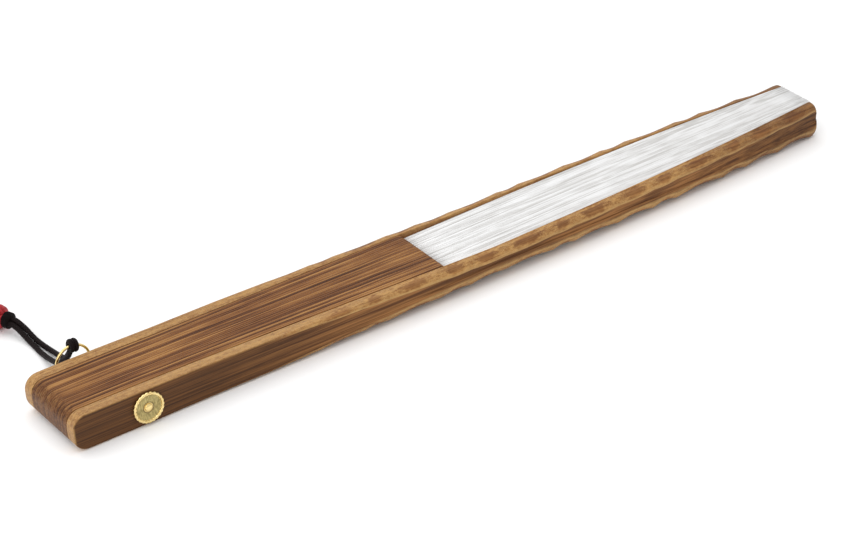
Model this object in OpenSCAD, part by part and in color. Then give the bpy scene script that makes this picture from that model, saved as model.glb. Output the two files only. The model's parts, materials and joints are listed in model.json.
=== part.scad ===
// Folding fan, closed: 24 bamboo ribs between two guards on one brass rivet, a pleated paper
// leaf, and a wire ring behind the head that carries a doubled cord with a knot and a tassel.
// The fan lies on the long edges of its sticks. +X runs from the head to the tip, Y lies along
// the rivet with the front guard on the -Y side, and +Z is up. Each shape is drawn about the
// rivet's centre, and place() moves it so that the origin is the middle of the fan's footprint.

/* [Sticks] */
// Rivet centre to the tip
reach = 283; // [240:1:345]
// Rivet centre to the end of the head
head_end = 27; // [20:0.5:34]
// Rivet centre to the start of the leaf
leaf_start = 119; // [95:1:145]
// Height of the sticks at the head
head_h = 12.8; // [10:0.1:16]
// Height of the sticks just before the leaf
shoulder_h = 9.9; // [8:0.1:13]
// Corner radius of the head
nose_r = 4.8; // [2:0.1:4.8]

/* [Guards] */
// Thickness of a guard at the head
guard_t = 4.7; // [3:0.1:6]
// Thickness of a guard at the tip
guard_tip_t = 3.6; // [2.5:0.1:5]
// Height of a guard at its waist, just past the start of the leaf
waist_h = 8.9; // [7.6:0.1:12]
// Height of a guard at the tip
tip_h = 13.2; // [11:0.1:17]
// How deep the hollows between the bamboo's nodes are, halfway along
scallop = 0.8; // [0:0.05:0.9]
// Depth of the shallow channel along a guard's outer face
channel = 0.4; // [0:0.05:0.8]

/* [Stack] */
// Width between the guards at the head
head_stack = 23.6; // [20:0.1:30]
// Width between the guards at the start of the leaf
leaf_stack = 27.5; // [24:0.1:36]
// Width between the guards at the tip
tip_stack = 15.7; // [13:0.1:20]
// Free space between neighbouring ribs
rib_gap = 0.04; // [0.03:0.005:0.08]
// Space between an end rib and its guard, which holds one layer of the leaf
end_gap = 0.25; // [0.2:0.01:0.4]
// Height of a rib's thin end where it enters the leaf
tail_h = 4.8; // [3:0.1:5.2]
// Height of a rib's thin end at the tip
tail_tip_h = 3; // [2:0.1:4]

/* [Leaf] */
// Turn from one rib to the next when the fan is open
pleat_angle = 5.3; // [4.2:0.1:5.4]
// Share of a rib's space that its two layers of paper take
leaf_share = 0.55; // [0.4:0.01:0.65]

/* [Rivet] */
// Diameter of the rivet
pin_d = 2.6; // [2:0.1:4]
// Radial clearance of every bore on the rivet
running_gap = 0.05; // [0.02:0.01:0.1]
// Diameter of a washer
washer_d = 11.4; // [8:0.1:12]
// Radius of a washer's beaded rim
bead_r = 0.6; // [0.4:0.05:0.9]
// Thickness of a washer's dished disc
disc_t = 0.4; // [0.3:0.05:0.6]
// Radius of the rivet's domed head
dome_r = 1.7; // [1.5:0.1:2.5]

/* [Ring] */
// Radius of the ring, to the middle of its wire
ring_r = 6.2; // [5:0.1:8]
// Diameter of the ring's wire
wire_d = 1; // [0.8:0.1:1.3]
// Radius of the rivet's eye, to the middle of its wire
eye_r = 2; // [1.9:0.1:2.6]
// Diameter of the eye's wire
eye_d = 1.2; // [0.8:0.1:1.2]

/* [Pendant] */
// Diameter of the cord
cord_d = 1.9; // [1.5:0.1:2]
// Diameter of the whipping that joins the two strands
binding_d = 5.8; // [5.6:0.1:7]
// Length of the whipping
binding_l = 2.2; // [1.8:0.1:6]
// Diameter of the round knot
knot_d = 9.4; // [8:0.1:12]
// Length of the tassel, from the knot to its end
tassel_l = 46; // [30:1:60]
// Diameter of the tassel's head
tassel_head_d = 6.4; // [5:0.1:8]
// Diameter of the tassel's end
tassel_end_d = 10; // [8:0.1:13]

/* [Hidden] */
rib_count = 24;
joint_count = 14;             // bamboo nodes along a guard
stations_per_joint = 5;
bamboo = "peru";
dark_bamboo = "saddlebrown";
brass = "gold";
cord_black = [0.12, 0.08, 0.08];
silk_red = "crimson";
paper = "whitesmoke";
slop = 1;                     // how far a cutting tool runs past what it cuts
rivet_fn = 64;
pin_r = pin_d / 2;
washer_r = washer_d / 2;
wire_r = wire_d / 2;
cord_r = cord_d / 2;

// The stack: the guards press the tip together, and spread a little towards the leaf.
taper_start = 20;
squeeze = 2.5;
leaf_l = reach - leaf_start;
layer = pleat_angle / 4;      // half of the angle that one panel of the leaf covers
function unit(t) = min(1, max(0, t));
function stack(x) = x < leaf_start
    ? head_stack + (leaf_stack - head_stack) * unit((x - taper_start) / (leaf_start - taper_start))
    : leaf_stack - (leaf_stack - tip_stack) * pow(unit((x - leaf_start) / leaf_l), squeeze);
function pitch(x) = (stack(x) - 2 * end_gap) / rib_count;
function slot_y(x, k) = end_gap - stack(x) / 2 + k * pitch(x);
function guard_thick(x) = guard_t + (guard_tip_t - guard_t) * unit(x / reach);
half_depth = head_stack / 2 + guard_t;

// Where everything stands in the row frame.
collar_t = 0.6;
neck_l = 1.2;
eye_foot = half_depth + running_gap + disc_t + collar_t;
eye_y = eye_foot + neck_l + eye_r;
front_proud = max(2 * bead_r, disc_t + dome_r / 2);
back_proud = eye_y + eye_r + eye_d / 2 - half_depth;
pivot = [(head_end - reach) / 2, (front_proud - back_proud) / 2,
    max(head_h / 2, tip_h / 2, reach * sin(layer))];
table = -pivot[2];

// Half the height of a stick: flat about the rivet, then narrower towards the leaf.
nose_limit = min(nose_r, head_h / 2 - 0.4);
tip_corner = 2.5;
function nose(x) = x > nose_limit - head_end ? 0
    : nose_limit - sqrt(max(0, pow(nose_limit, 2) - pow(nose_limit - head_end - x, 2)));
function stick_half(x) = (head_h + (shoulder_h - head_h) * unit(x / leaf_start)) / 2 - nose(x);
waist_x = leaf_start + 20;
joints_from = leaf_start - 54;
joints_to = reach - tip_corner;
joint_pitch = (joints_to - joints_from) / joint_count;
function joint_x(k) = k == 0 || k == joint_count ? joints_from + k * joint_pitch
    : joints_from + (k + 0.22 * sin(137 * k)) * joint_pitch;
function tip_round(x) = x < joints_to ? 0
    : tip_corner - sqrt(max(0, pow(tip_corner, 2) - pow(x - joints_to, 2)));
function guard_half(x) = (x < leaf_start ? stick_half(x)
    : lookup(x, [[leaf_start, shoulder_h], [waist_x, waist_h], [reach, tip_h]]) / 2) - tip_round(x);

// Guard sections: a rectangle at the head that turns into a bevelled, hollowed bar.
bevel_z = 2.6;
edge_flat = 0.8;
edge_round = 0.5;
shape_from = joints_from - 20;
nose_steps = 6;
function shaped(x) = unit((x - shape_from) / (leaf_start - shape_from));
function section(x, h, cut) = let (t = guard_thick(x), s = shaped(x), dip = s * channel,
        z = edge_round + s * (bevel_z - edge_round), y = edge_round + s * (t - edge_flat - edge_round))
    [[0, -h], [0, h], [t - y, h - cut], [t, h - cut - z], [t - dip, 0], [t, z + cut - h], [t - y, cut - h]];
guard_x = concat(
    [for (k = [0:nose_steps]) nose_limit * (1 - cos(90 * k / nose_steps)) - head_end],
    [0, taper_start, shape_from],
    [for (k = [0:joint_count - 1]) for (j = [0:stations_per_joint - 1]) let (t = j / stations_per_joint)
        joint_x(k) * (1 - t) + joint_x(k + 1) * t],
    [for (k = [0:3]) joints_to + tip_corner * sin(90 * k / 3)]);
function joint_at(x) = max([for (k = [0:joint_count - 1]) x >= joint_x(k) - 0.001 ? k : 0]);
function hollow(x) = x < joints_from ? 0
    : let (k = joint_at(x), t = unit((x - joint_x(k)) / (joint_x(k + 1) - joint_x(k))))
    scallop * (0.4 + 1.2 * unit((x - joints_from) / (reach - joints_from))) * sin(180 * t);

// Ribs: the exposed part is as high as the guards, and a thin tail carries the paper.
shoulder_r = 2.2;
shoulder_x = leaf_start - 0.2;
tail_end = reach - 2;
corner_steps = 5;
leaf_steps = 6;
leaf_x = [for (k = [0:leaf_steps]) leaf_start + leaf_l * k / leaf_steps];
function paper_front(x, k) = slot_y(x, k - 1) + rib_gap / 2;
function paper_back(x, k) = paper_front(x, k) + leaf_share * (pitch(x) - rib_gap);
function rib_back(x, k) = slot_y(x, k) - rib_gap / 2;

// The ring hangs in the eye, pulled against its wall, and stands clear of the table.
ring_lift = max(1.7, ring_r + wire_r + 0.3 + table);
ring_play = eye_r - eye_d / 2 - wire_r - 0.1;
ring_at = [-ring_play - sqrt(pow(ring_r, 2) - pow(ring_lift, 2)), eye_y, ring_lift];
wrap_r = wire_r + cord_r;
hitch_turn = 6;               // how far round from the ring's top the cord hangs

// Routes of the two strands: down from the ring, along the table, and up into the whipping.
function from_ring(points) = [for (p = points) p + [0, eye_y, ring_lift - 1.7]];
function on_table(points) = [for (p = points) p + [0, eye_y, table]];
strand_a = concat(
    from_ring([[-5.9, 1.9, 7.2], [-5.8, 2.5, 5.4], [-5.9, 3.6, 3.5], [-6.1, 4.8, 1.8],
        [-6.2, 6.2, 0.2]]),
    on_table([[-6, 7.9, 5.5], [-5.7, 9.9, 4.6], [-5.2, 12.3, 3.7], [-4.9, 15.1, 2.8], [-4.6, 18.2, 2],
        [-4.5, 21.4, 1.4], [-4.6, 24.6, 1.1], [-4.8, 27.8, 1], [-5.1, 31, 1.3], [-5.4, 33.8, 2.1],
        [-5.8, 36.3, 3.2], [-6.4, 38.6, 4.2], [-7, 40.8, 4.9], [-7.6, 42.4, 4.9]]));
strand_b = concat(
    from_ring([[-7, 0.5, 6.1], [-7, 1.2, 4.6], [-7.3, 2.3, 2.9], [-7.8, 3.7, 1.2], [-8.3, 5.4, -0.3]]),
    on_table([[-8.7, 7.4, 5.2], [-8.8, 9.6, 4.3], [-8.6, 12, 3.5], [-8.3, 14.8, 2.7], [-8, 17.8, 1.9],
        [-7.7, 21, 1.3], [-7.5, 24.4, 1], [-7.3, 27.6, 1], [-7.3, 30.8, 1.2], [-7.5, 33.5, 1.9],
        [-7.8, 35.8, 2.8], [-8.2, 38, 3.6], [-8.6, 40.2, 4], [-9.2, 41.8, 4]]));
cord_sides = 8;
function end_of(route, back) = route[len(route) - 1 - back];
cord_ends = (end_of(strand_a, 0) + end_of(strand_b, 0)) / 2;
cord_way = end_of(strand_a, 0) - end_of(strand_a, 1);
pendant_turn = atan2(-cord_way[0], cord_way[1]);
knot_cut = 0.4;               // how much of the ball each of its flat ends takes off
knot_from = binding_l;
tassel_from = knot_from + knot_d - 2 * knot_cut;
tassel_head_l = 5;

function two(k) = str(k < 10 ? "0" : "", k);
RIBS = [for (k = [1:rib_count]) str("rib_", two(k))];
LEAVES = [for (k = [1:rib_count]) str("leaf_", two(k))];

module place() translate(pivot) children();
module along_y(y) translate([0, y, 0]) rotate([-90, 0, 0]) children();
module pendant(from, rise) translate([cord_ends[0], cord_ends[1], table + rise])
    rotate([0, 0, pendant_turn]) along_y(from) children();
module rivet_bore() along_y(-half_depth - slop)
    cylinder(r = pin_r + running_gap, h = 2 * (half_depth + slop), $fn = rivet_fn);

// A solid skin through sections of equally many points, given from one end to the other.
module skin(rings) {
    n = len(rings[0]);
    m = len(rings);
    sides = [for (i = [0:m - 2]) for (j = [0:n - 1]) let (k = (j + 1) % n)
        each [[i * n + j, i * n + k, (i + 1) * n + k], [i * n + j, (i + 1) * n + k, (i + 1) * n + j]]];
    first = [for (j = [n - 1:-1:0]) j];
    last = [for (j = [0:n - 1]) (m - 1) * n + j];
    polyhedron([for (r = rings) each r], concat([first], sides, [last]));
}

module guard_bar() difference() {
    skin([for (x = guard_x) [for (p = section(x, guard_half(x), hollow(x)))
        [x, stack(x) / 2 + p[0], p[1]]]]);
    rivet_bore();
}

module front_guard() color(dark_bamboo) place() mirror([0, 1, 0]) guard_bar();

module back_guard() color(dark_bamboo) place() guard_bar();

// Outline of a rib seen along the rivet.
module rib_outline() {
    rise = stick_half(shoulder_x);
    r = min(shoulder_r, rise - tail_h / 2);
    upper = concat(
        [for (k = [0:nose_steps]) let (x = nose_limit * (1 - cos(90 * k / nose_steps)) - head_end)
            [x, stick_half(x)]],
        [[0, stick_half(0)]],
        [for (k = [0:corner_steps]) let (a = 90 * k / corner_steps)
            [shoulder_x - r + r * sin(a), rise - r + r * cos(a)]],
        [[shoulder_x, tail_h / 2], [tail_end - 1, tail_tip_h / 2], [tail_end, tail_tip_h / 2 - 0.5]]);
    last = len(upper) - 1;
    polygon(concat(upper, [for (k = [last:-1:0]) [upper[k][0], -upper[k][1]]]));
}

module rib_plan(k) {
    front = concat([for (x = [-head_end, taper_start, shoulder_x]) [x, paper_front(x, k)]],
        [[shoulder_x, paper_back(shoulder_x, k)]], [for (x = leaf_x) [x, paper_back(x, k)]]);
    back = concat([for (x = [-head_end, taper_start, shoulder_x]) [x, rib_back(x, k)]],
        [for (x = leaf_x) [x, rib_back(x, k)]]);
    last = len(back) - 1;
    polygon(concat(front, [for (j = [last:-1:0]) back[j]]));
}

module rib(k) color(bamboo) place() difference() {
    intersection() {
        translate([0, 0, -head_h]) linear_extrude(2 * head_h) rib_plan(k);
        along_y(-half_depth) linear_extrude(2 * half_depth) mirror([0, 1, 0]) rib_outline();
    }
    rivet_bore();
}

// One panel of the leaf: a slice of a circle about the rivet, as thick as its folded layers.
module panel(front, back) intersection() {
    last = len(front) - 1;
    translate([0, 0, -tip_h]) linear_extrude(2 * tip_h)
        polygon(concat(front, [for (j = [last:-1:0]) back[j]]));
    along_y(-half_depth) linear_extrude(2 * half_depth) polygon([
        [leaf_start, -leaf_start * tan(layer)], [reach * cos(layer), -reach * sin(layer)], [reach, 0],
        [reach * cos(layer), reach * sin(layer)], [leaf_start, leaf_start * tan(layer)]]);
}

module leaf(k) color(paper) place()
    panel([for (x = leaf_x) [x, paper_front(x, k)]], [for (x = leaf_x) [x, paper_back(x, k)]]);

// The first and last panels are glued to the guards' inner faces.
module end_panel() panel([for (x = leaf_x) [x, stack(x) / 2 - end_gap + rib_gap]],
    [for (x = leaf_x) [x, stack(x) / 2]]);

module leaf_front_end() color(paper) place() mirror([0, 1, 0]) end_panel();

module leaf_back_end() color(paper) place() end_panel();

module washer() rotate_extrude($fn = rivet_fn) {
    polygon([[pin_r + running_gap, 0], [washer_r - bead_r, 0], [washer_r - bead_r, disc_t],
        [pin_r + running_gap, disc_t]]);
    translate([washer_r - bead_r, bead_r]) circle(r = bead_r, $fn = 32);
}

module rivet_washers() color(brass) place() {
    mirror([0, 1, 0]) along_y(half_depth) washer();
    along_y(half_depth + running_gap) washer();
}

module rivet_pin() color(brass) place() {
    along_y(-half_depth - disc_t) cylinder(r = pin_r, h = half_depth + disc_t + eye_foot, $fn = rivet_fn);
    mirror([0, 1, 0]) along_y(half_depth + disc_t) intersection() {
        translate([0, 0, -dome_r / 2]) sphere(r = dome_r, $fn = rivet_fn);
        cylinder(r = dome_r, h = dome_r, $fn = rivet_fn);
    }
    along_y(eye_foot - collar_t) cylinder(r = dome_r, h = collar_t, $fn = rivet_fn);
    along_y(eye_foot - slop) cylinder(r = eye_d / 2, h = slop + neck_l, $fn = rivet_fn);
    translate([0, eye_y, 0]) rotate_extrude($fn = rivet_fn)
        translate([eye_r, 0]) circle(r = eye_d / 2, $fn = 32);
}

module ring() color(brass) place() translate(ring_at) rotate([90, 0, 0])
    rotate_extrude($fn = rivet_fn) translate([ring_r, 0]) circle(r = wire_r, $fn = 32);

// The middle of the cord, hung over the ring's wire.
module cord_hitch() color(cord_black) place() translate(ring_at) rotate([0, hitch_turn, 0])
    translate([0, 0, ring_r]) rotate([0, 90, 0])
    rotate_extrude($fn = rivet_fn) translate([wrap_r, 0]) circle(r = cord_r, $fn = 32);

// Frames of a tube: each section is level across, so that the tube never twists.
function step(route, i) = let (a = route[max(0, i - 1)], b = route[min(len(route) - 1, i + 1)], d = b - a)
    d / norm(d);
function ring_of(route, i) = let (d = step(route, i), side = [1, 0, 0] - d[0] * d, u = side / norm(side),
        v = cross(d, u))
    [for (k = [0:cord_sides - 1]) let (a = 360 * k / cord_sides)
        route[i] + cord_r * cos(a) * v + cord_r * sin(a) * u];

module strand(route) skin([for (i = [0:len(route) - 1]) ring_of(route, i)]);

module cord_strands() color(cord_black) place() {
    strand(strand_a);
    strand(strand_b);
}

module cord_binding() color(cord_black) place() pendant(0, knot_d / 2)
    cylinder(d = binding_d, h = binding_l, $fn = rivet_fn);

module pendant_knot() color(silk_red) place() pendant(knot_from - knot_cut + knot_d / 2, knot_d / 2)
    intersection() {
        sphere(d = knot_d, $fn = rivet_fn);
        cube([knot_d, knot_d, knot_d - 2 * knot_cut], center = true);
    }

module tassel() color(silk_red) place() pendant(tassel_from, tassel_end_d / 2) {
    cylinder(d = tassel_head_d, h = tassel_head_l, $fn = rivet_fn);
    translate([0, 0, tassel_head_l]) cylinder(d1 = tassel_head_d - 1, d2 = tassel_end_d,
        h = tassel_l - tassel_head_l, $fn = rivet_fn);
}

front_guard();
back_guard();
leaf_front_end();
leaf_back_end();
rivet_pin();
rivet_washers();
ring();
cord_hitch();
cord_strands();
cord_binding();
pendant_knot();
tassel();
for (k = [1:rib_count]) rib(k);
for (k = [1:rib_count]) leaf(k);
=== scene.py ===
# %% [markdown]
# A folding fan lies closed on a table: two bamboo guards, twenty-four bamboo ribs and a
# pleated paper leaf, all turning on one brass rivet. A wire ring hangs in an eye behind the
# head, and a doubled cord on it carries a round knot and a tassel.
# The frame holds the exact solids from CAD. Everything made here stands in the same place.

# %% Load the frame
import json
import math
import random

import bmesh
import bpy
from mathutils import Matrix, Quaternion, Vector


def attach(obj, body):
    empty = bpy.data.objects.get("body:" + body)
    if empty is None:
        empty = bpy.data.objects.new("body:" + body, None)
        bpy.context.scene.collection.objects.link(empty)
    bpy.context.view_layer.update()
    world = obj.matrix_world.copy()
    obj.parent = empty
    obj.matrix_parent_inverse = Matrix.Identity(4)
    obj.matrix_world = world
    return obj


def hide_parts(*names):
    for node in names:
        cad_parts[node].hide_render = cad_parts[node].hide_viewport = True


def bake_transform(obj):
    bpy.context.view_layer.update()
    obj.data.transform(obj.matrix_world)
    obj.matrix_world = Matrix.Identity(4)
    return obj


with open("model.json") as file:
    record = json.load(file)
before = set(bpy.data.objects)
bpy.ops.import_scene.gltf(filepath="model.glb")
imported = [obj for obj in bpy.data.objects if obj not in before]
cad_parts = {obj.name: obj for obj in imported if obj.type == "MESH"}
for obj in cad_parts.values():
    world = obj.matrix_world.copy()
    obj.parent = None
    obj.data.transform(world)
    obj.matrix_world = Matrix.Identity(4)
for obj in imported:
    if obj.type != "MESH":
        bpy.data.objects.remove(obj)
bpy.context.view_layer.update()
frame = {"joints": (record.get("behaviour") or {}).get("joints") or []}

# %% [markdown]
# The fan's sizes are easiest to think of in millimetres from the rivet, with x along the
# sticks, y along the rivet and z up. Every shape below is drawn that way, and one matrix
# moves it into the shared frame, in metres.

# %% Sizes shared with the CAD model
MM = 0.001
rivet = Vector(next(j for j in frame["joints"] if j["name"] == "fan_open")["pos_m"])
into_frame = Matrix.Translation(rivet) @ Matrix.Scale(MM, 4)

reach = 283
head_end = 27
leaf_start = 119
rib_count = 24
end_gap = 0.25
rib_gap = 0.04
leaf_share = 0.55
pleat_angle = math.radians(5.3)
panel_half_angle = pleat_angle / 4
half_depth = 16.5
table = -rivet.z / MM
eye_y = 20.75


def unit(t):
    return min(1, max(0, t))


def blend_of(a, b, t):
    return a + (b - a) * t


head_stack, leaf_stack, tip_stack, flare_from = 23.6, 27.5, 15.7, 20


def stack(x):
    """Width between the guards at x."""
    if x < leaf_start:
        return blend_of(head_stack, leaf_stack, unit((x - flare_from) / (leaf_start - flare_from)))
    return blend_of(leaf_stack, tip_stack, unit((x - leaf_start) / (reach - leaf_start)) ** 2.5)


def pitch(x):
    """The space each rib has at x."""
    return (stack(x) - 2 * end_gap) / rib_count


def slot_y(x, k):
    """Back of the k-th rib's space, counted from the front guard."""
    return end_gap - stack(x) / 2 + k * pitch(x)


print("rivet at", [round(c, 4) for c in rivet], "pitch at the head", round(pitch(0), 3), "mm")

# %% [markdown]
# The camera looks down on the fan from the front left, as a long lens does from about a
# metre away, and leans a little.

# %% Camera
camera = bpy.data.objects.new("camera", bpy.data.cameras.new("camera"))
bpy.context.scene.collection.objects.link(camera)
camera_aim = Vector((-0.0095, -0.0026, 0.0012))
camera.location = (-0.4957, -0.7885, 0.5562)
camera.data.lens = 133.4
camera.data.sensor_width = 36
camera_roll = math.radians(-4.73)
camera.rotation_mode = "QUATERNION"
camera.rotation_quaternion = (camera_aim - camera.location).to_track_quat("-Z", "Y") @ Quaternion(
    (0, 0, 1), camera_roll)
camera.data.clip_start, camera.data.clip_end = 0.01, 50
bpy.context.scene.camera = camera
print("camera", round((camera_aim - camera.location).length, 3), "m from the fan")

# %% [markdown]
# Materials are sums of noise, waves and masks. Written as node links they are hard to read,
# so a small class wraps a node's output and lets Python's own operators add Math nodes.

# %% A wire that does arithmetic
class Wire:
    """A node's output, on which + - * / and ** add Math nodes."""

    def __init__(self, finish, socket):
        self.finish, self.socket = finish, socket

    def math(self, operation, *values):
        return self.finish.node("Math", {"operation": operation}, dict(enumerate(values)))

    def __add__(self, other):
        return self.math("ADD", self, other)

    __radd__ = __add__

    def __sub__(self, other):
        return self.math("SUBTRACT", self, other)

    def __rsub__(self, other):
        return self.math("SUBTRACT", other, self)

    def __mul__(self, other):
        return self.math("MULTIPLY", self, other)

    __rmul__ = __mul__

    def __truediv__(self, other):
        return self.math("DIVIDE", self, other)

    def __rtruediv__(self, other):
        return self.math("DIVIDE", other, self)

    def __pow__(self, power):
        return self.math("POWER", self, power)

    def __abs__(self):
        return self.math("ABSOLUTE", self)

    def ramp(self, low, high):
        """0 below low, 1 above high, and smooth between them."""
        return self.finish.node("MapRange", {"interpolation_type": "SMOOTHSTEP", "clamp": True},
                                {"Value": self, "From Min": low, "From Max": high})

    def out(self, name):
        """Another output of the same node."""
        return Wire(self.finish, self.socket.node.outputs[name])

# %% [markdown]
# A finish is a material with one Principled shader. What is the same all over a piece is set
# on the shader's own sockets when the finish is made. What changes over the surface is fed
# to them by wires. The helpers give the coordinates on which the patterns are laid out.

# %% A finish
class Finish:
    """A material with one Principled shader."""

    def __init__(self, name, **constants):
        self.material = bpy.data.materials.new(name)
        self.material.use_nodes = True
        self.tree = self.material.node_tree
        self.shader = self.tree.nodes["Principled BSDF"]
        for socket, value in constants.items():
            self.shader.inputs[socket.replace("_", " ")].default_value = value
        print("finish", name)

    def node(self, kind, settings=None, inputs=None, output=0):
        """Adds a node: its settings first, then the values or wires of its sockets."""
        made = self.tree.nodes.new("ShaderNode" + kind)
        for key, value in (settings or {}).items():
            if key == "stops":
                stops = made.color_ramp.elements
                stops.remove(stops[1])
                for k, (place, colour) in enumerate(value):
                    stop = stops[0] if k == 0 else stops.new(place)
                    stop.position, stop.color = place, (*colour, 1)
            else:
                setattr(made, key, value)
        for key, value in (inputs or {}).items():
            if isinstance(value, Wire):
                self.tree.links.new(value.socket, made.inputs[key])
            else:
                made.inputs[key].default_value = value
        return Wire(self, made.outputs[output])

    def place(self, scale=(1, 1, 1), shift=(0, 0, 0)):
        """Object coordinates in millimetres, stretched and then moved."""
        return self.node("Mapping", {}, {
            "Vector": self.node("TexCoord", output="Object"),
            "Scale": [1000 * s for s in scale], "Location": shift})

    def from_rivet(self):
        """Millimetres from the rivet: X, with Y and Z as its other outputs."""
        return self.node("SeparateXYZ", {}, {"Vector": self.place(shift=[-c / MM for c in rivet])})

    def on_tube(self):
        """How far along a tube, with how far round it as its output Y, both from 0 to 1."""
        return self.node("SeparateXYZ", {}, {"Vector": self.node("UVMap", {"uv_map": "UVMap"})})

    def noise(self, where, detail=4, roughness=0.5):
        """Noise from 0 to 1, whose grains are as large as its coordinates make them."""
        return self.node("TexNoise", {}, {
            "Vector": where, "Scale": 1, "Detail": detail, "Roughness": roughness})

    def mix(self, share, first, second):
        """Two colours mixed by a share. Mix has a socket for each kind of value, and the
        colour ones are known only by their numbers."""
        made = self.tree.nodes.new("ShaderNodeMix")
        made.data_type = "RGBA"
        for key, value in ((0, share), (6, first), (7, second)):
            if isinstance(value, Wire):
                self.tree.links.new(value.socket, made.inputs[key])
            else:
                made.inputs[key].default_value = value if key == 0 else (*value, 1)
        return Wire(self, made.outputs[2])

    def feed(self, **wires):
        """Joins wires to the shader's sockets."""
        for socket, wire in wires.items():
            self.tree.links.new(wire.socket, self.shader.inputs[socket.replace("_", " ")])

    def bump(self, height, distance=0.0001, strength=0.5):
        self.feed(Normal=self.node("Bump", {}, {
            "Height": height, "Distance": distance, "Strength": strength}))

# %% [markdown]
# Most of the fan's pieces are long: guards, ribs, paper, cord. Each can be made from one flat
# grid, whose rows are carried along the piece and wrapped round it. The grid's own UV map
# then runs along and round the piece, which is what a weave or a braid needs.

# %% Grids wrapped into long pieces
weld = 1e-4


def wrapped(along, around, place, tube=True, paints=None):
    """A grid whose vertex (i, j) goes to place(i, j). A tube is sewn up and its ends are closed.
    Each paint is a number on every point, which a material reads as an attribute."""
    bm = bmesh.new()
    bm.loops.layers.uv.new("UVMap")
    bmesh.ops.create_grid(bm, x_segments=along, y_segments=around, size=0.5, calc_uvs=True)
    layers = {name: bm.verts.layers.float.new(name) for name in paints or {}}
    for v in bm.verts:
        i, j = round((v.co.x + 0.5) * along), round((v.co.y + 0.5) * around)
        v.co = place(i, j)
        for name, layer in layers.items():
            v[layer] = paints[name](i, j)
    if tube:
        bmesh.ops.remove_doubles(bm, verts=bm.verts, dist=weld)
        bmesh.ops.holes_fill(bm, edges=[e for e in bm.edges if e.is_boundary])
    return bm


def together(*shapes):
    """Several shapes in one."""
    whole = bmesh.new()
    whole.loops.layers.uv.new("UVMap")
    for shape in shapes:
        spare = bpy.data.meshes.new("spare")
        shape.to_mesh(spare)
        whole.from_mesh(spare)
        shape.free()
        bpy.data.meshes.remove(spare)
    return whole


def piece(name, bm, finish, slot, body, *replaced, crease=40):
    """Moves a shape from millimetres about the rivet to its place, as one object on a body."""
    bmesh.ops.recalc_face_normals(bm, faces=bm.faces)
    bmesh.ops.transform(bm, matrix=into_frame, verts=bm.verts)
    mesh = bpy.data.meshes.new(name)
    bm.to_mesh(mesh)
    bm.free()
    mesh.materials.append(finish.material)
    mesh.shade_smooth()
    mesh.set_sharp_from_angle(angle=math.radians(crease))
    obj = bpy.data.objects.new(name, mesh)
    bpy.context.scene.collection.objects.link(obj)
    if body:
        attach(obj, body)
    if replaced:
        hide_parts(*replaced)
    print(name, "has", len(mesh.polygons), "faces")
    return obj

# %% [markdown]
# The cord is a limp black braid. An image of a weave would need its own file, so the braid is
# two sine waves that climb round the cord in opposite directions, and the higher one is seen.
# They read the tube's own UV map, so that the braid follows every bend.

# %% Cord finish
cord_finish = Finish("black_cord", Roughness=0.62, Specular_IOR_Level=0.12)
braid_steps, braid_plies = 44, 4
braid = cord_finish.on_tube()
along = braid * (2 * math.pi * braid_steps)
across = braid.out("Y") * (2 * math.pi * braid_plies)
weave = braid.math("MAXIMUM", braid.math("SINE", along + across), braid.math("SINE", along - across))
fibre = cord_finish.noise(cord_finish.place((3, 3, 3)), detail=3)
cord_finish.feed(Base_Color=cord_finish.mix(
    weave.ramp(-0.2, 1) * 0.6 + fibre * 0.4, (0.002, 0.001, 0.001), (0.013, 0.007, 0.007)))
cord_finish.bump(weave * 0.7 + fibre * 0.3, distance=0.0002, strength=0.7)

# %% [markdown]
# The cord is folded in half. Its loop is hitched over the ring, and the two strands fall to
# the table and run side by side to the whipping. They follow the points of the CAD cord. The
# first points hang from the ring, so their heights count from the rivet. The others lie on the
# table, and count from there.

# %% Where the strands go
def from_ring(points):
    return [Vector((x, y + eye_y, z)) for x, y, z in points]


def on_table(points):
    return [Vector((x, y + eye_y, z + table)) for x, y, z in points]


strand_routes = {
    "cord_strand_a": from_ring([
        (-5.9, 1.9, 7.2), (-5.8, 2.5, 5.4), (-5.9, 3.6, 3.5), (-6.1, 4.8, 1.8), (-6.2, 6.2, 0.2)
    ]) + on_table([
        (-6, 7.9, 5.5), (-5.7, 9.9, 4.6), (-5.2, 12.3, 3.7), (-4.9, 15.1, 2.8), (-4.6, 18.2, 2),
        (-4.5, 21.4, 1.4), (-4.6, 24.6, 1.1), (-4.8, 27.8, 1), (-5.1, 31, 1.3), (-5.4, 33.8, 2.1),
        (-5.8, 36.3, 3.2), (-6.4, 38.6, 4.2), (-7, 40.8, 4.9), (-7.6, 42.4, 4.9)]),
    "cord_strand_b": from_ring([
        (-7, 0.5, 6.1), (-7, 1.2, 4.6), (-7.3, 2.3, 2.9), (-7.8, 3.7, 1.2), (-8.3, 5.4, -0.3)
    ]) + on_table([
        (-8.7, 7.4, 5.2), (-8.8, 9.6, 4.3), (-8.6, 12, 3.5), (-8.3, 14.8, 2.7), (-8, 17.8, 1.9),
        (-7.7, 21, 1.3), (-7.5, 24.4, 1), (-7.3, 27.6, 1), (-7.3, 30.8, 1.2), (-7.5, 33.5, 1.9),
        (-7.8, 35.8, 2.8), (-8.2, 38, 3.6), (-8.6, 40.2, 4), (-9.2, 41.8, 4)]),
}
print("the strands follow", [len(route) for route in strand_routes.values()], "points")

# %% [markdown]
# A strand could be a curve with a bevel, but then its seam may twist where the cord turns. So
# the line is smoothed between its points, and a grid is wrapped round it. The same tube is
# used below for everything that is wound, twisted or bent from wire.

# %% Lines and tubes
X, Y, Z = (Vector(axis) for axis in ((1, 0, 0), (0, 1, 0), (0, 0, 1)))


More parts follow.
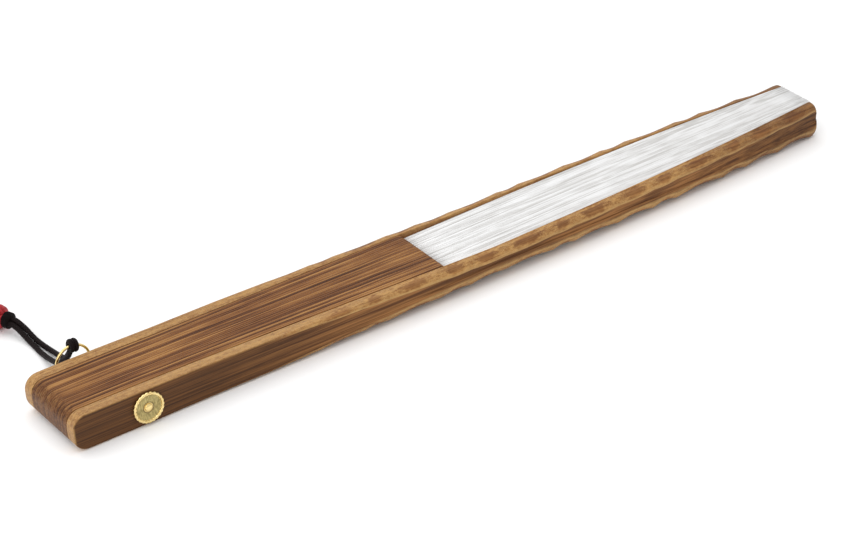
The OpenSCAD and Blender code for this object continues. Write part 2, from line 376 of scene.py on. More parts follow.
def smoothed(points, steps):
    """A Catmull-Rom curve through the points."""
    ends = [2 * points[0] - points[1], *points, 2 * points[-1] - points[-2]]
    line = []
    for a, b, c, d in zip(ends, ends[1:], ends[2:], ends[3:]):
        for s in range(steps):
            t = s / steps
            line.append(0.5 * (2 * b + (c - a) * t + (2 * a - 5 * b + 4 * c - d) * t ** 2
                               + (3 * b - a - 3 * c + d) * t ** 3))
    return line + [points[-1]]


def tube_along(line, radius, sides=12, level=X, closed=False):
    """A tube round a line, whose seam keeps to one side so that it never twists. The radius is
    a number, or a function of how far along the tube a ring is, from 0 to 1."""
    count = len(line)
    steps = count if closed else count - 1

    def place(i, j):
        if closed:
            ahead = (line[(i + 1) % count] - line[(i - 1) % count]).normalized()
        else:
            ahead = (line[min(steps, i + 1)] - line[max(0, i - 1)]).normalized()
        side = (level - level.dot(ahead) * ahead).normalized()
        turn = 2 * math.pi * (j % sides) / sides
        r = radius(i / steps) if callable(radius) else radius
        return line[i % count] + r * (math.cos(turn) * side + math.sin(turn) * ahead.cross(side))

    return wrapped(steps, sides, place)

# %% [markdown]
# Now each strand's line is smoothed, wrapped into a tube and measured. The real cord is as
# long as its line, so the length is kept.

# %% Strands
cord_d = 1.9
cord_crease = 80
strands = []
for name, route in strand_routes.items():
    line = smoothed(route, 4)
    strand = piece(name, tube_along(line, cord_d / 2), cord_finish, "black_cord", "ring",
                   "cord_strands", crease=cord_crease)
    length = sum((b - a).length for a, b in zip(line, line[1:]))
    print(name, "is", round(length, 1), "mm long")
    strands.append((strand, line, length))

# %% [markdown]
# The hitch grips the ring's wire where the cord goes over it. A real hitch is one cord that
# goes round twice. The join is hidden between the strands, so two closed turns side by side
# look the same and need no knotting. They sit at the top of the ring, leaning a little.

# %% Hitch
ring_r, wire_d, ring_lift, ring_play = 6.2, 1, 1.7, 0.8
ring_at = Vector((-ring_play - math.sqrt(ring_r ** 2 - ring_lift ** 2), eye_y, ring_lift))
hitch_turn = math.radians(6)
turns_apart = 1.32


def circle(centre, u, v, radius, steps):
    """Points on a circle in the plane of u and v."""
    return [centre + radius * (math.cos(t) * u + math.sin(t) * v)
            for t in (2 * math.pi * k / steps for k in range(steps))]


up_there = Vector((math.sin(hitch_turn), 0, math.cos(hitch_turn)))
hitch_axis = up_there.cross(Y)
on_cord_a, on_cord_b = [], []
for number, offset in ((1, -turns_apart / 2), (2, turns_apart / 2)):
    turn = circle(ring_at + ring_r * up_there + offset * hitch_axis, up_there, Y,
                  wire_d / 2 + cord_d / 2, 40)
    on_cord_b.append(piece(
        f"cord_hitch_turn_{number}", tube_along(turn, cord_d / 2, 14, hitch_axis, closed=True),
        cord_finish, "black_cord", "ring", "cord_hitch", crease=cord_crease))

# %% [markdown]
# Whipping, knot and tassel follow one another on a straight line, which goes on the way that
# the strands end. One helper measures along that line, so each part is placed by how far it
# is from where the whipping starts.

# %% The pendant's line
knot_d, binding_d, binding_l, knot_cut = 9.4, 5.8, 2.2, 0.4
last_step = strand_routes["cord_strand_a"][-1] - strand_routes["cord_strand_a"][-2]
way = last_step.normalized()
sideways = way.cross(Z)
start = (strands[0][1][-1] + strands[1][1][-1]) / 2
start.z = table + knot_d / 2


def on_axis(distance, rise=0):
    return start + distance * way + Vector((0, 0, rise))


print("the pendant starts at", [round(c, 1) for c in start], "mm from the rivet")

# %% [markdown]
# The whipping is fine black thread, wound five times round both strands. Five thin tubes
# would do, but so small they are seen only as ridges. So it is one tube, whose radius rises
# and falls with the thread and drops at both ends.

# %% Whipping
def wound(outer, groove, ridges, drop, end_share):
    """A radius with a ridge for each turn of thread, and two rounded ends."""
    def radius(t):
        past = max(0, abs(t - 0.5) - (0.5 - end_share)) / end_share
        return outer - groove + groove * abs(math.sin(math.pi * ridges * t)) ** 0.6 - drop * past
    return radius


whipping = piece("cord_whipping", tube_along(
    [on_axis(binding_l * k / 44) for k in range(45)],
    wound(binding_d / 2, 0.28, ridges=5, drop=0.7, end_share=0.08), 40, sideways),
    cord_finish, "black_cord", "ring", "cord_binding", crease=cord_crease)

# %% [markdown]
# Knot and tassel are red silk, spun from thin plies. The twist is a sine wave that climbs
# round each thread on its own UV map, and noise breaks it up. Silk glows faintly at its
# edges, and a little tinted sheen gives that without turning the red pink.

# %% Silk finish
silk_finish = Finish("red_silk", Roughness=0.5, Sheen_Weight=0.1, Sheen_Roughness=0.35,
                     Sheen_Tint=(1, 0.25, 0.2, 1))
twist_steps, twist_plies = 60, 3
twist = silk_finish.on_tube()
plies = twist.math("SINE", twist * (2 * math.pi * twist_steps)
                   + twist.out("Y") * (2 * math.pi * twist_plies))
silk_fibre = silk_finish.noise(silk_finish.place((2, 2, 2)), detail=4)
silk_finish.feed(Base_Color=silk_finish.mix(
    plies.ramp(-1, 1) * 0.55 + silk_fibre * 0.45, (0.23, 0.002, 0.006), (0.62, 0.012, 0.022)))
silk_finish.bump(plies * 0.7 + silk_fibre * 0.5, distance=0.00012, strength=0.6)

# %% [markdown]
# The knot is a ball woven from one cord. What is seen of it are three bands of three cords
# that cross at right angles, so nine closed loops round a ball stand for the weave. Each loop
# dips twice, to go under the band that crosses it, and a smooth ball fills the gaps behind.

# %% Knot
knot_cord_r, knot_pitch, knot_dip, loop_steps = 0.66, 1.28, 0.42, 48
knot_centre = on_axis(binding_l - knot_cut + knot_d / 2)
bands = ((way, sideways, Z), (sideways, Z, way), (Z, way, sideways))
for number in range(9):
    u, v, axis = bands[number // 3]
    offset = knot_pitch * (number % 3 - 1)
    span = math.sqrt((knot_d / 2 - knot_cord_r) ** 2 - offset ** 2)
    loop = [knot_centre + offset * axis + (span - knot_dip + knot_dip * math.cos(2 * t))
            * (math.cos(t) * u + math.sin(t) * v)
            for t in (2 * math.pi * k / loop_steps for k in range(loop_steps))]
    on_cord_a.append(piece(
        f"knot_loop_{number + 1}", tube_along(loop, knot_cord_r, 8, axis, closed=True),
        silk_finish, "red_silk", "ring", "pendant_knot", crease=cord_crease))

core = bmesh.new()
bmesh.ops.create_icosphere(core, subdivisions=4, radius=knot_d / 2 - 1.25)
core.loops.layers.uv.new("UVMap")
bmesh.ops.translate(core, vec=knot_centre, verts=core.verts)
knot_core = piece("knot_core", core, silk_finish, "red_silk", "ring", "pendant_knot")

# %% [markdown]
# The tassel is a bundle of threads, bound at its head with seven more turns of thread. The
# head is a wound tube like the whipping. Hair would be lost in an export, so the skirt is a
# hundred and fifty thin tubes. They start where the seeds of a sunflower would sit, which
# fills a round head evenly, and each drifts and ends a little differently.

# %% Tassel
tassel_l, tassel_head_d, tassel_end_d, tassel_head_l = 46, 6.4, 10, 5
tassel_from = binding_l + knot_d - 2 * knot_cut
tassel_rise = tassel_end_d / 2 - knot_d / 2
tassel_head = piece("tassel_head", tube_along(
    [on_axis(tassel_from + tassel_head_l * k / 60, tassel_rise) for k in range(61)],
    wound(tassel_head_d / 2, 0.22, ridges=7, drop=0.9, end_share=0.1), 36, sideways),
    silk_finish, "red_silk", "ring", "tassel", crease=cord_crease)

thread_count, thread_r, golden_angle = 150, 0.34, 2.39996
chance = random.Random(7)
threads = []
for k in range(thread_count):
    depth = math.sqrt((k + 0.5) / thread_count)
    drift = chance.uniform(-0.25, 0.25)
    length = tassel_l - tassel_head_l - chance.uniform(0, 1.6)
    line = []
    for t in (s / 8 for s in range(9)):
        spread = depth * blend_of(tassel_head_d / 2 - 0.75, tassel_end_d / 2 - 0.5, t ** 0.7)
        swing = k * golden_angle + drift * t
        line.append(on_axis(tassel_from + tassel_head_l - 0.3 + length * t, tassel_rise)
                    + spread * (math.cos(swing) * sideways + math.sin(swing) * Z))
    threads.append(tube_along(line, thread_r, 5, sideways))
tassel_skirt = piece("tassel_skirt", together(*threads), silk_finish, "red_silk", "ring", "tassel",
                     crease=cord_crease)

# %% [markdown]
# For everything limp, where it leaves the object, how long it is and the points it follows are
# worked out in metres, and what it carries is counted. The two strands are two cords. The first
# carries the whipping, the knot and the tassel, and the second carries the turns of the hitch.

on_cord_a += [whipping, knot_core, tassel_head, tassel_skirt]
for (strand, line, length), carried in zip(strands, (on_cord_a, on_cord_b)):
    into_frame @ line[0]
    length * MM
    [into_frame @ p for p in line]
    print(strand.name, "carries", len(carried), "pieces")

# %% [markdown]
# The two guards are thick bamboo sticks. At the head they are plain, and along the leaf their
# edges are carved into rails with a hollow between every two nodes, beside a dark sunken
# channel. Booleans could cut the hollows, but would leave hard rims. So a long grid is
# wrapped round a section that changes on its way, and three numbers are kept on each point:
# how much it is rail, how far across the rail it is, and how near to a node.

# %% Guard outline
guard_t, guard_tip_t, head_h, shoulder_h, waist_h, tip_h = 4.7, 3.6, 12.8, 9.9, 8.9, 13.2
nose_r, tip_corner, waist_x = 4.8, 2.5, 139
nose_steps = 8
nose_x = [nose_r * (1 - math.cos(math.pi / 2 * k / nose_steps)) - head_end
          for k in range(nose_steps + 1)]


def nose(x):
    """How far the rounded head end falls at x."""
    from_end = nose_r - head_end - x
    return nose_r - math.sqrt(max(0, nose_r ** 2 - from_end ** 2)) if from_end > 0 else 0


def stick_half(x):
    """Half the height of a stick between the head end and the leaf."""
    return blend_of(head_h, shoulder_h, unit(x / leaf_start)) / 2 - nose(x)


def guard_half(x, corner=tip_corner):
    """Half the height of a guard at x, with its tip rounded by a corner."""
    if x < leaf_start:
        return stick_half(x)
    if x < waist_x:
        half = blend_of(shoulder_h, waist_h, (x - leaf_start) / (waist_x - leaf_start)) / 2
    else:
        half = blend_of(waist_h, tip_h, (x - waist_x) / (reach - waist_x)) / 2
    past = max(0, x - reach + corner)
    return half - corner + math.sqrt(max(0, corner ** 2 - past ** 2))


print("a guard is", [round(2 * guard_half(x), 1) for x in (0, leaf_start, waist_x, reach - tip_corner)],
      "mm high at the rivet, the leaf, the waist and the tip")

# %% [markdown]
# Bamboo's nodes are never evenly spaced. Here each one is moved from its even place by a sine
# of its own number, which looks irregular but is the same every time. The hollows between
# them get deeper towards the tip.

# %% Nodes and hollows
joints_from, joints_to, joint_count = leaf_start - 54, reach - tip_corner, 14
joint_pitch = (joints_to - joints_from) / joint_count


def uneven(k):
    return 0.22 * math.sin(math.radians(137 * k)) if 0 < k < joint_count else 0


joint_x = [joints_from + (k + uneven(k)) * joint_pitch for k in range(joint_count + 1)]


def hollow(x):
    """How deep the hollow is at x, and how near the closest node is, from 0 to 1."""
    if x <= joints_from:
        return 0, 1
    k = max(n for n in range(joint_count) if joint_x[n] <= x + 1e-6)
    t = unit((x - joint_x[k]) / (joint_x[k + 1] - joint_x[k]))
    deep = 0.8 * (0.4 + 1.2 * unit((x - joints_from) / (reach - joints_from)))
    return deep * math.sin(math.pi * t), abs(2 * t - 1)


print("nodes at", [round(x) for x in joint_x], "mm from the rivet")

# %% [markdown]
# A section runs from the face against the stack, over the rail's edge and down its slope, to
# the channel in the outer face. The carving grows from nothing, between the plain head and
# the leaf. The upper rail's hollows are cut less than half as deep as the lower one's.

# %% Guard section
carving_from = 45
step_in, wall_edge = 0.16, 0.3


def half_section(x, sign):
    """One half, from the stack's side to the channel: out, up, rail, over and near."""
    thick = blend_of(guard_t, guard_tip_t, unit(x / reach))
    carving = unit((x - carving_from) / (leaf_start - carving_from))
    deep, near = hollow(x)
    sunk = 0.4 * carving
    h = guard_half(x, 1 if sign > 0 else tip_corner)
    cut = deep * (0.45 if sign > 0 else 1)
    bulge = 0.14 + carving * (0.62 + 0.12 * near if sign > 0 else 0.85)
    inner = Vector((thick - (0.5 + carving * (thick - 1.3)), h - cut))
    outer = Vector((thick, h - cut - (0.5 + carving * 2.1)))
    normal = Vector((inner.y - outer.y, outer.x - inner.x)).normalized()
    half = [(0, 0.6 * h, 0, 0), (0, h - wall_edge, 0.8 * carving, 0), (0.07, h - 0.08, 1, 0),
            (0.25, h, 1, 0.04), (max(wall_edge, inner.x - 0.25), h - cut * 0.92, 1, 0.12)]
    for u in (k / 6 for k in range(7)):
        p = inner.lerp(outer, u) + normal * bulge * 4 * u * (1 - u)
        half.append((p.x, p.y, 1 if carving > 0 else 1 - u, 0.15 + 0.83 * u))
    floor_z = outer.y - step_in - (0 if sign > 0 else max(0, 1.3 * carving - deep))
    half += [(thick - 0.05 * carving, floor_z, 0, 1), (thick - 0.55 * sunk, floor_z - 0.7, 0, 1),
             (thick - sunk, 0.3 * outer.y, 0, 1)]
    return [(out, sign * up, rail, over, near) for out, up, rail, over in half]


def guard_section(x):
    """All the points round a guard at x."""
    return half_section(x, 1) + half_section(x, -1)[::-1]


tip_x = [reach - 2.5, reach - 1.7, reach - 1] + [
    reach - 1 + math.sin(math.radians(15 * k)) for k in range(1, 7)]
guard_x = nose_x + [0, 20, carving_from] + [
    blend_of(joint_x[k], joint_x[k + 1], j / 8) for k in range(joint_count) for j in range(8)] + tip_x
guard_sections = [guard_section(x) for x in guard_x]
print("each guard has", len(guard_sections), "sections of", len(guard_sections[0]), "points")

# %% [markdown]
# The guards are scorched bamboo. The outer face is dark and streaked along the stick, darkest
# at the head and the tip. The rails are paler where the knife went, with a rust-brown oval in
# every hollow, fine pale veins round the nodes and a light lip. Noise stretched along the stick
# makes the streaks, and the three numbers on the points say where each colour belongs.

# %% Guard finish
guard_finish = Finish("guard_bamboo", Specular_IOR_Level=0.2, Coat_Roughness=0.3)
rail, over, near = (guard_finish.node("Attribute", {"attribute_name": n}, output="Fac")
                    for n in ("rail", "over", "near"))
fine = guard_finish.noise(guard_finish.place((0.012, 1.5, 1.5)), detail=6, roughness=0.72)
broad = guard_finish.noise(guard_finish.place((0.015, 0.7, 0.7)), detail=3)
mottle = guard_finish.noise(guard_finish.place((0.5, 1, 1)), detail=4, roughness=0.6)
curls = guard_finish.noise(guard_finish.place((0.9, 2.2, 2.2)), detail=2)
along_guard = guard_finish.from_rivet()
end_grain = 1 - along_guard.ramp(-head_end - 0.1, 0.8 - head_end)
rail = rail.math("MAXIMUM", rail, end_grain)
grain = fine * 0.7 + broad * 0.3
face_grain, rail_grain = grain.ramp(0.38, 0.64), grain.ramp(0.4, 0.62)

head_face = guard_finish.mix(face_grain, (0.04, 0.0146, 0.0042), (0.155, 0.0634, 0.0186))
tail_face = guard_finish.mix(face_grain, (0.085, 0.0301, 0.0083), (0.33, 0.147, 0.0455))
face = guard_finish.mix(along_guard.ramp(20, 90) - along_guard.ramp(225, 275) * 0.75,
                        head_face, tail_face)

oval = ((near / 0.72) ** 2 + ((over - 0.5) / 0.42) ** 2) ** 0.5 + (mottle - 0.5) * 1.3
rust = 1 - oval.ramp(0.55, 1.1)
vein = 1 - (abs(curls - 0.5) * 22).ramp(0.2, 1)
tan = guard_finish.mix((grain * 0.6 + mottle * 0.4).ramp(0.36, 0.62),
                       (0.22, 0.088, 0.0225), (0.5, 0.275, 0.092))
streaked = guard_finish.mix(rail_grain, (0.125, 0.0418, 0.0106), (0.32, 0.1395, 0.0383))
smoked = guard_finish.mix(rail_grain, (0.07, 0.0215, 0.0052), (0.2, 0.0745, 0.0205))
pale_vein, pale_lip = (0.55, 0.3441, 0.132), (0.46, 0.279, 0.1023)
carved = guard_finish.mix(rust * 0.75, tan, streaked)
carved = guard_finish.mix(vein * near.ramp(0.25, 0.7) * 0.55, carved, pale_vein)
carved = guard_finish.mix(along_guard.ramp(205, 275) * 0.7, carved, smoked)
carved = guard_finish.mix(over.ramp(0.8, 0.97) * grain.ramp(0.35, 0.5) * 0.6, carved, pale_lip)
guard_finish.feed(
    Base_Color=guard_finish.mix(rail, face, carved),
    Roughness=0.56 - rail * 0.14 + (fine - 0.5) * 0.3,
    Coat_Weight=rail * 0.12)
guard_finish.bump(grain * 0.7 + (mottle * 0.5 + vein * near * 0.4) * rail,
                  distance=0.0003, strength=0.5)

# %% [markdown]
# The back guard is the front one's mirror image. A negative scale would turn it inside out,
# so each guard is wrapped on its own side of the stack.

# %% Guards
section_points = len(guard_sections[0])
for name, side in (("front_guard", -1), ("back_guard", 1)):

    def place(i, j):
        out, up = guard_sections[i][j % section_points][:2]
        return Vector((guard_x[i], side * (stack(guard_x[i]) / 2 + out), up))

    shape = wrapped(len(guard_x) - 1, section_points, place, paints={
        word: (lambda i, j, n=n: guard_sections[i][j % section_points][n])
        for word, n in (("rail", 2), ("over", 3), ("near", 4))})
    piece(name + "_stick", shape, guard_finish, "guard_bamboo", name, name, crease=38)

# %% [markdown]
# The ribs are thin slats of bamboo, packed side by side. Twenty-four bevelled boxes would
# take as long to shape as one grid, and could not taper. So each rib is a rounded section
# carried along the stations of its outline: the nose, the straight stick, the rounded
# shoulder and the thin tail inside the leaf.

# %% Rib shape
shoulder_x, shoulder_r, tail_end = leaf_start - 0.2, 2.2, 281
rib_edge = 0.16
tail_half_from, tail_half_to, tail_steps = 2.4, 1.5, 12


def paper_front(x, k):
    return slot_y(x, k - 1) + rib_gap / 2


def paper_space(x):
    return leaf_share * (pitch(x) - rib_gap)


def rib_outline():
    """Stations along a rib: x, half height, and whether it is the tail."""
    rows = [(x, stick_half(x), False) for x in nose_x + [0, 20, 50, 80]]
    low = shoulder_x - shoulder_r
    rise = stick_half(shoulder_x)
    for turn in (math.radians(18 * k) for k in range(6)):
        rows.append((low + shoulder_r * math.sin(turn),
                     rise - shoulder_r * (1 - math.cos(turn)), False))
    for k in range(tail_steps + 1):
        rows.append((shoulder_x + 0.05 + (tail_end - shoulder_x - 1) * k / tail_steps,
                     blend_of(tail_half_from, tail_half_to, k / tail_steps), True))
    return rows + [(tail_end, 1, True)]


rib_rows = rib_outline()
rib_corners = [(u, v, math.radians(a))
               for u, v, turn in ((1, 1, 0), (-1, 1, 90), (-1, -1, 180), (1, -1, 270))
               for a in (turn, turn + 45, turn + 90)]
print("a rib has", len(rib_rows), "stations of", len(rib_corners), "points")

# %% [markdown]
# Seen from above, the ribs are stripes of brown from nearly black to honey. Every rib is cut
# from another cane, so each has its own tone, painted on its points. Stretched noise adds
# streaks, fine pores and slow clouds, and one ramp turns their sum into bamboo's colours. The
# head end is sanded across the grain, so there the streaks give way to dark speckle.

# %% Rib finish
rib_finish = Finish("rib_bamboo", Specular_IOR_Level=0.2)
tone = rib_finish.node("Attribute", {"attribute_name": "tone"}, output="Fac")
streak = rib_finish.noise(rib_finish.place((0.01, 1.3, 1)), detail=6, roughness=0.72)
pores = rib_finish.noise(rib_finish.place((0.05, 6, 6)), detail=3)
cloud = rib_finish.noise(rib_finish.place((0.05, 0.12, 0.12)), detail=3)
speckle = rib_finish.noise(rib_finish.place((0.8, 0.8, 0.8)), detail=4, roughness=0.65)
sanded = 1 - rib_finish.from_rivet().ramp(-head_end, 6 - head_end)
shade = tone * 0.24 + streak * 1.2 + (cloud - 0.5) * 0.25 + (pores - 0.5) * 0.35 - 0.22
bamboo = rib_finish.node("ValToRGB", {"stops": [
    (0.3, (0.05, 0.0149, 0.0035)), (0.43, (0.124, 0.0425, 0.0108)),
    (0.55, (0.225, 0.0895, 0.0247)), (0.7, (0.4, 0.196, 0.06))]}, {"Fac": shade})
across_grain = rib_finish.mix(speckle.ramp(0.4, 0.62), (0.057, 0.02, 0.0062), (0.15, 0.059, 0.019))
rib_finish.feed(Base_Color=rib_finish.mix(sanded * 0.7, bamboo, across_grain),
                Roughness=0.55 - streak * 0.2)
rib_finish.bump(streak * 0.5 + pores * 0.5, distance=0.0002, strength=0.4)

# %% [markdown]
# Each rib fills its space in the stack, and in its tail it leaves the front part of that
# space to the paper.

# %% Ribs
tones = random.Random(24)
for k in range(1, rib_count + 1):
    rib_tone = tones.random()

    def place(i, j):
        x, half, tail = rib_rows[i]
        front = paper_front(x, k) + (paper_space(x) if tail else 0)
        back = slot_y(x, k) - rib_gap / 2
        r = min(rib_edge, 0.3 * (back - front))
        u, v, a = rib_corners[j % len(rib_corners)]
        middle, wide = (front + back) / 2, (back - front) / 2
        return Vector((x, middle + u * (wide - r) + r * math.cos(a), v * (half - r) + r * math.sin(a)))

    shape = wrapped(len(rib_rows) - 1, len(rib_corners), place,
                    paints={"tone": lambda i, j: rib_tone})
    rib = f"rib_{k:02d}"
    piece(rib + "_slat", shape, rib_finish, "rib_bamboo", rib, rib, crease=50)

# %% [markdown]
# The leaf is white paper made from long plant fibre. It isn't quite white: faint grey lines run
# along the sticks, partly from fibre and partly painted shade that stands in for the shade along
# the folds. Two noises make them, one of them stretched nearly as long as the leaf.

# %% Leaf finish
leaf_finish = Finish("leaf_paper", Roughness=0.85, Sheen_Weight=0.08)
pulp = leaf_finish.noise(leaf_finish.place((0.12, 0.5, 0.5)), detail=4)
fibre_and_fold_shade = leaf_finish.noise(leaf_finish.place((0.006, 1.6, 1.6)), detail=5)
# Painted shade: the grey streaks stand for the shade along the folds as well as for fibre.
leaf_finish.feed(Base_Color=leaf_finish.mix(
    (pulp * 0.25 + fibre_and_fold_shade * 0.75).ramp(0.38, 0.58), (0.66, 0.65, 0.635), (0.9, 0.9, 0.9)))
leaf_finish.bump(pulp * 0.5 + fibre_and_fold_shade * 0.5, distance=0.0001, strength=0.35)

# %% [markdown]
# The leaf is one pleated sheet. It is made as twenty-five strips, one from each rib to the
# next: half of the panel glued to a rib, the fold on top, the free panel, the fold below, and
# half of the panel on the next rib. When the fan opens, the glued halves turn with their ribs
# and the free panel spreads between them. For a blend between the front guard and the next
# rib, every point would need its own share of the next rib's turn, which such a blend reads
# from how far a point is along a line. A strip is first laid out with its shares as distances
# along Y, and then folded to its real depth; the blend itself is not set up here. The turn is
# about Y, so the depth never matters to it.

# %% The way across a strip
leaf_rows = 14
paper_t = 0.09


def glued_y(x, k):
    """Where the panel on rib k lies. The two end panels lie on the guards."""
    if k == 0:
        return -stack(x) / 2 + 0.07
    if k > rib_count:
        return stack(x) / 2 - 0.06
    return paper_front(x, k) + 0.75 * paper_space(x)


def free_y(x, k):
    """Where the free panel before rib k lies."""
    if k > rib_count:
        return stack(x) / 2 - 0.19
    return paper_front(x, k) + 0.25 * paper_space(x)


def across_strip(k):
    """Points across strip k: how high (1 is the top fold, -1 the bottom one), the part (0 and 2
    are glued, 1 is free), and the mark, which counts from panel to panel."""
    path = [(a, 0, 0) for a in (0, 0.45, 0.75, 0.87)]
    path += [(0.95, 0, 0.22), (1, 0, 0.5), (0.95, 0, 0.78)]
    path += [(a, 1, 1) for a in (0.87, 0.75, 0.4, 0, -0.4, -0.75, -0.87)]
    path += [(-0.95, 1, 1.22), (-1, 1, 1.5), (-0.95, 2, 1.78)]
    path += [(a, 2, 2) for a in (-0.87, -0.75, -0.45, 0)]
    if k == 0:
        path = [(-0.97, 0, 0), (-0.5, 0, 0)] + path
    if k == rib_count:
        path += [(0.5, 2, 2), (0.97, 2, 2)]
    return path


def share(k, a, part):
    """How far along the blend's line a point must be, for a smooth blend to give it its turn."""
    turn = (k, k + unit((1 - a) / 2), k + 1)[part] / (k + 1)
    return 0.5 - math.sin(math.asin(1 - 2 * turn) / 3)


def depth_y(x, k, mark):
    """The real depth of a point: on a panel, or on the fold between two."""
    panels = (glued_y(x, k), free_y(x, k + 1), glued_y(x, k + 1))
    low = min(1, int(mark))
    return blend_of(panels[low], panels[low + 1], mark - low)


print("a strip has", len(across_strip(1)), "points across and", leaf_rows + 1, "along")

# %% [markdown]
# Each strip is made and then folded. No two folds of a hand-made leaf end at quite
# the same height, so each gets a little lift. Solidify gives the paper its thickness.

# %% Leaf
lifts = random.Random(5)
for k in range(rib_count + 1):
    path = across_strip(k)
    lift = lifts.uniform(-0.02, 0.015)

    def place(i, j):
        a, part, mark = path[j]
        turn = a * panel_half_angle * (1 + (lift if a > 0.9 else 0))
        r = blend_of(leaf_start / math.cos(turn), reach, i / leaf_rows)
        return Vector((r * math.cos(turn), share(k, a, part) / MM - rivet.y / MM,
                       r * math.sin(turn)))

    shape = wrapped(leaf_rows, len(path) - 1, place, tube=False,
                    paints={"mark": lambda i, j: path[j][2]})
    replaced = [f"leaf_{n:02d}" for n in (k, k + 1) if 0 < n <= rib_count]
    if k == 0:
        replaced.append("leaf_front_end")
    if k == rib_count:
        replaced.append("leaf_back_end")
    strip = piece(f"leaf_strip_{k:02d}", shape, leaf_finish, "leaf_paper", None, *replaced, crease=70)
    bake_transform(strip)
    for vertex, mark in zip(strip.data.vertices, strip.data.attributes["mark"].data):
        x = (vertex.co.x - rivet.x) / MM
        vertex.co.y = rivet.y + depth_y(x, k, mark.value) * MM
    wall = strip.modifiers.new("paper thickness", "SOLIDIFY")
    wall.thickness, wall.offset = paper_t * MM, 0

# %% [markdown]
# Pin, washers and ring are brass. Rims and domes are polished by hands and pockets, while the
# dish of each washer is brushed and has gone olive. A dark ring round the head is painted shade.
# All of them are round about one pin, so the distance from the pin's middle says which is
# which. The eye and the ring lie further out along the pin, and stay bright.

# %% Brass finish
brass_finish = Finish("brass", Metallic=1, Coat_Weight=0.15, Coat_Roughness=0.1)
about = brass_finish.from_rivet()
from_pin = (about * about + about.out("Z") * about.out("Z")) ** 0.5
on_washer = 1 - abs(about.out("Y")).ramp(17.5, 17.6)
dish = from_pin.ramp(1.75, 1.95) * (1 - from_pin.ramp(4.45, 4.65)) * on_washer
# groove marks the ring round the head where the dome meets the dish, which is darkened with painted
# shade.
groove = from_pin.ramp(1.55, 1.7) * (1 - from_pin.ramp(1.95, 2.2)) * on_washer
brushed = brass_finish.noise(brass_finish.place((2.5, 0.4, 0.6)), detail=5, roughness=0.7)
tarnish = brass_finish.noise(brass_finish.place((0.35, 0.35, 0.35)), detail=3)
bright = brass_finish.mix(tarnish.ramp(0.4, 0.7), (0.93, 0.73, 0.34), (0.8, 0.58, 0.22))
olive = brass_finish.mix(brushed.ramp(0.35, 0.65), (0.26, 0.2, 0.075), (0.56, 0.46, 0.2))
# Painted shade: the colour of the dark ring round the rivet head.
painted_head_shadow = (0.12, 0.08, 0.03)
brass_finish.feed(
    Base_Color=brass_finish.mix(groove * 0.75, brass_finish.mix(dish, bright, olive), painted_head_shadow),
    Roughness=0.16 + dish * 0.2 + tarnish.ramp(0.45, 0.7) * 0.1)
brass_finish.bump(brushed * dish + tarnish * 0.1, distance=0.00006, strength=0.5)

# %% [markdown]
# Round metal parts are turned on a lathe, and Spin does the same: it carries a profile round
# an axis. Each washer is a shallow dish. Its rim is roped, which a lathe can't do, so the rim
# is a grid wrapped into a ring whose thickness swells twenty-four times on the way round.

# %% Washers
def turned(profile, height, steps=96, side=1):
    """Spins (radius, distance) pairs round the rivet's axis, from y = height outwards."""
    bm = bmesh.new()
    bm.loops.layers.uv.new("UVMap")
    points = [bm.verts.new((r, height + side * out, 0)) for r, out in profile]
    edges = [bm.edges.new(pair) for pair in zip(points, points[1:])]
    bmesh.ops.spin(bm, geom=points + edges, cent=(0, 0, 0), axis=(0, 1, 0), angle=2 * math.pi,
                   steps=steps, use_merge=True)
    bmesh.ops.remove_doubles(bm, verts=bm.verts, dist=weld)
    return bm


washer_profile = [(1.35, 0), (1.35, 0.34), (1.4, 0.4), (1.9, 0.4), (2.6, 0.36), (3.4, 0.34),
                  (4.2, 0.4), (4.75, 0.62), (4.75, 0), (1.35, 0)]
rim_r, rim_thick, rim_strands, rim_steps, rim_sides = 5.1, 0.6, 24, 192, 12
for name, height, side in (("washer_front", -half_depth, -1), ("washer_back", half_depth + 0.05, 1)):

    def rim(i, j):
        turn = 2 * math.pi * (i % rim_steps) / rim_steps
        roll = 2 * math.pi * (j % rim_sides) / rim_sides
        minor = rim_thick * (0.85 + 0.15 * math.cos(rim_strands * turn + 2 * roll))
        out = rim_r + minor * math.cos(roll)
        return Vector((out * math.cos(turn), height + side * (rim_thick + minor * math.sin(roll)),
                       out * math.sin(turn)))

    disc = turned(washer_profile, height, side=side)
    piece(name, together(disc, wrapped(rim_steps, rim_sides, rim)), brass_finish, "brass",
          "front_guard", "rivet_washers", crease=45)

# %% [markdown]
# The rivet is one pin: a small domed head in front, a straight shank through every stick, a
# collar and a thin neck behind, and an eye at the end for the ring. Pin and head are turned,
# and the eye and the ring are tubes along a circle. The ring hangs in the eye.

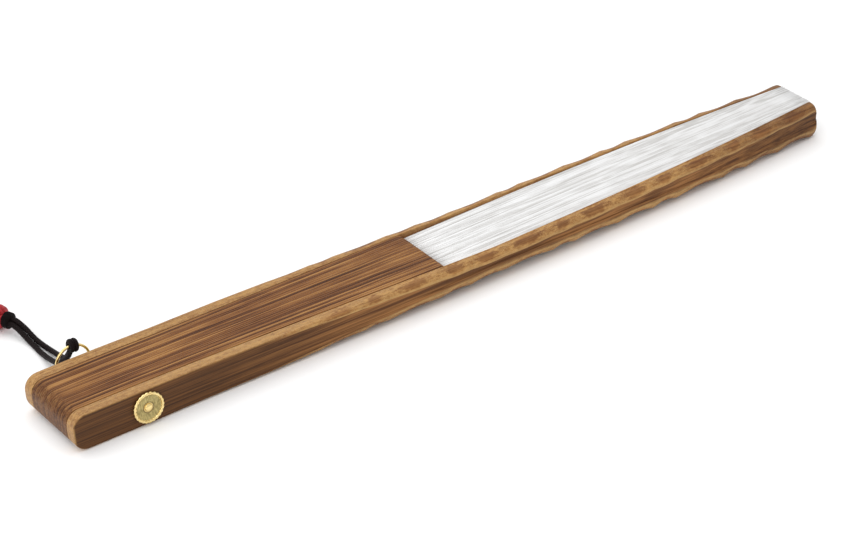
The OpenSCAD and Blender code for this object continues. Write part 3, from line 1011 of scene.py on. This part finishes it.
# %% Rivet and ring
dome_r, dome_h, shank_r, collar_r, neck_r = 1.47, 0.85, 1.3, 1.7, 0.6
dome = [(0, dome_h)] + [(dome_r * math.sin(a), dome_h * math.cos(a))
                        for a in (math.radians(9 * k) for k in range(1, 11))]
shank = [(0, 0), (shank_r, 0), (shank_r, -33.9), (collar_r, -33.9), (collar_r, -34.45),
         (collar_r - 0.1, -34.5), (neck_r, -34.5), (neck_r, -35.8), (0, -35.8)]
pin = turned(shank, -half_depth - 0.35, steps=64, side=-1)
head = turned(dome + [(dome_r, -0.2)], -half_depth - 0.4, steps=64, side=-1)
eye = tube_along(circle(Vector((0, eye_y, 0)), X, Y, 2, 72), neck_r, 16, Z, closed=True)
piece("rivet", together(pin, head, eye), brass_finish, "brass", "front_guard", "rivet_pin", crease=45)
piece("ring_wire", tube_along(circle(ring_at, X, Z, ring_r, 128), wire_d / 2, 20, Y, closed=True),
      brass_finish, "brass", "ring", "ring", crease=60)

# %% [markdown]
# The fan lies on a plain pale table. One large soft light hangs above it and a smaller one
# stands on the left, as in a small studio, and a bright room keeps the shadows faint.

# %% Table and light
floor_mesh = bmesh.new()
bmesh.ops.create_grid(floor_mesh, x_segments=1, y_segments=1, size=6)
floor_data = bpy.data.meshes.new("floor")
floor_mesh.to_mesh(floor_data)
floor_mesh.free()
floor = bpy.data.objects.new("floor", floor_data)
bpy.context.scene.collection.objects.link(floor)
floor_finish = Finish("floor", Base_Color=(0.97, 0.97, 0.97, 1), Roughness=0.7)
floor_data.materials.append(floor_finish.material)


def soft_light(name, where, size, power):
    """A round lamp that looks at the middle of the table."""
    light = bpy.data.objects.new(name, bpy.data.lights.new(name, "AREA"))
    light.data.shape, light.data.size, light.data.energy = "DISK", size, power
    light.location = where
    light.rotation_mode = "QUATERNION"
    light.rotation_quaternion = (-Vector(where)).to_track_quat("-Z", "Y")
    bpy.context.scene.collection.objects.link(light)
    print(name, "is", size, "m wide and gives", power, "W")


soft_light("overhead", (-0.2, 0.4, 1.6), 2.2, 13)
soft_light("from_the_left", (-1.4, -0.5, 1.0), 1.4, 6)
world = bpy.data.worlds.new("room")
bpy.context.scene.world = world
world.use_nodes = True
world.node_tree.nodes["Background"].inputs["Color"].default_value = (1, 1, 1, 1)
world.node_tree.nodes["Background"].inputs["Strength"].default_value = 0.82
bpy.context.scene.view_settings.view_transform = "Standard"
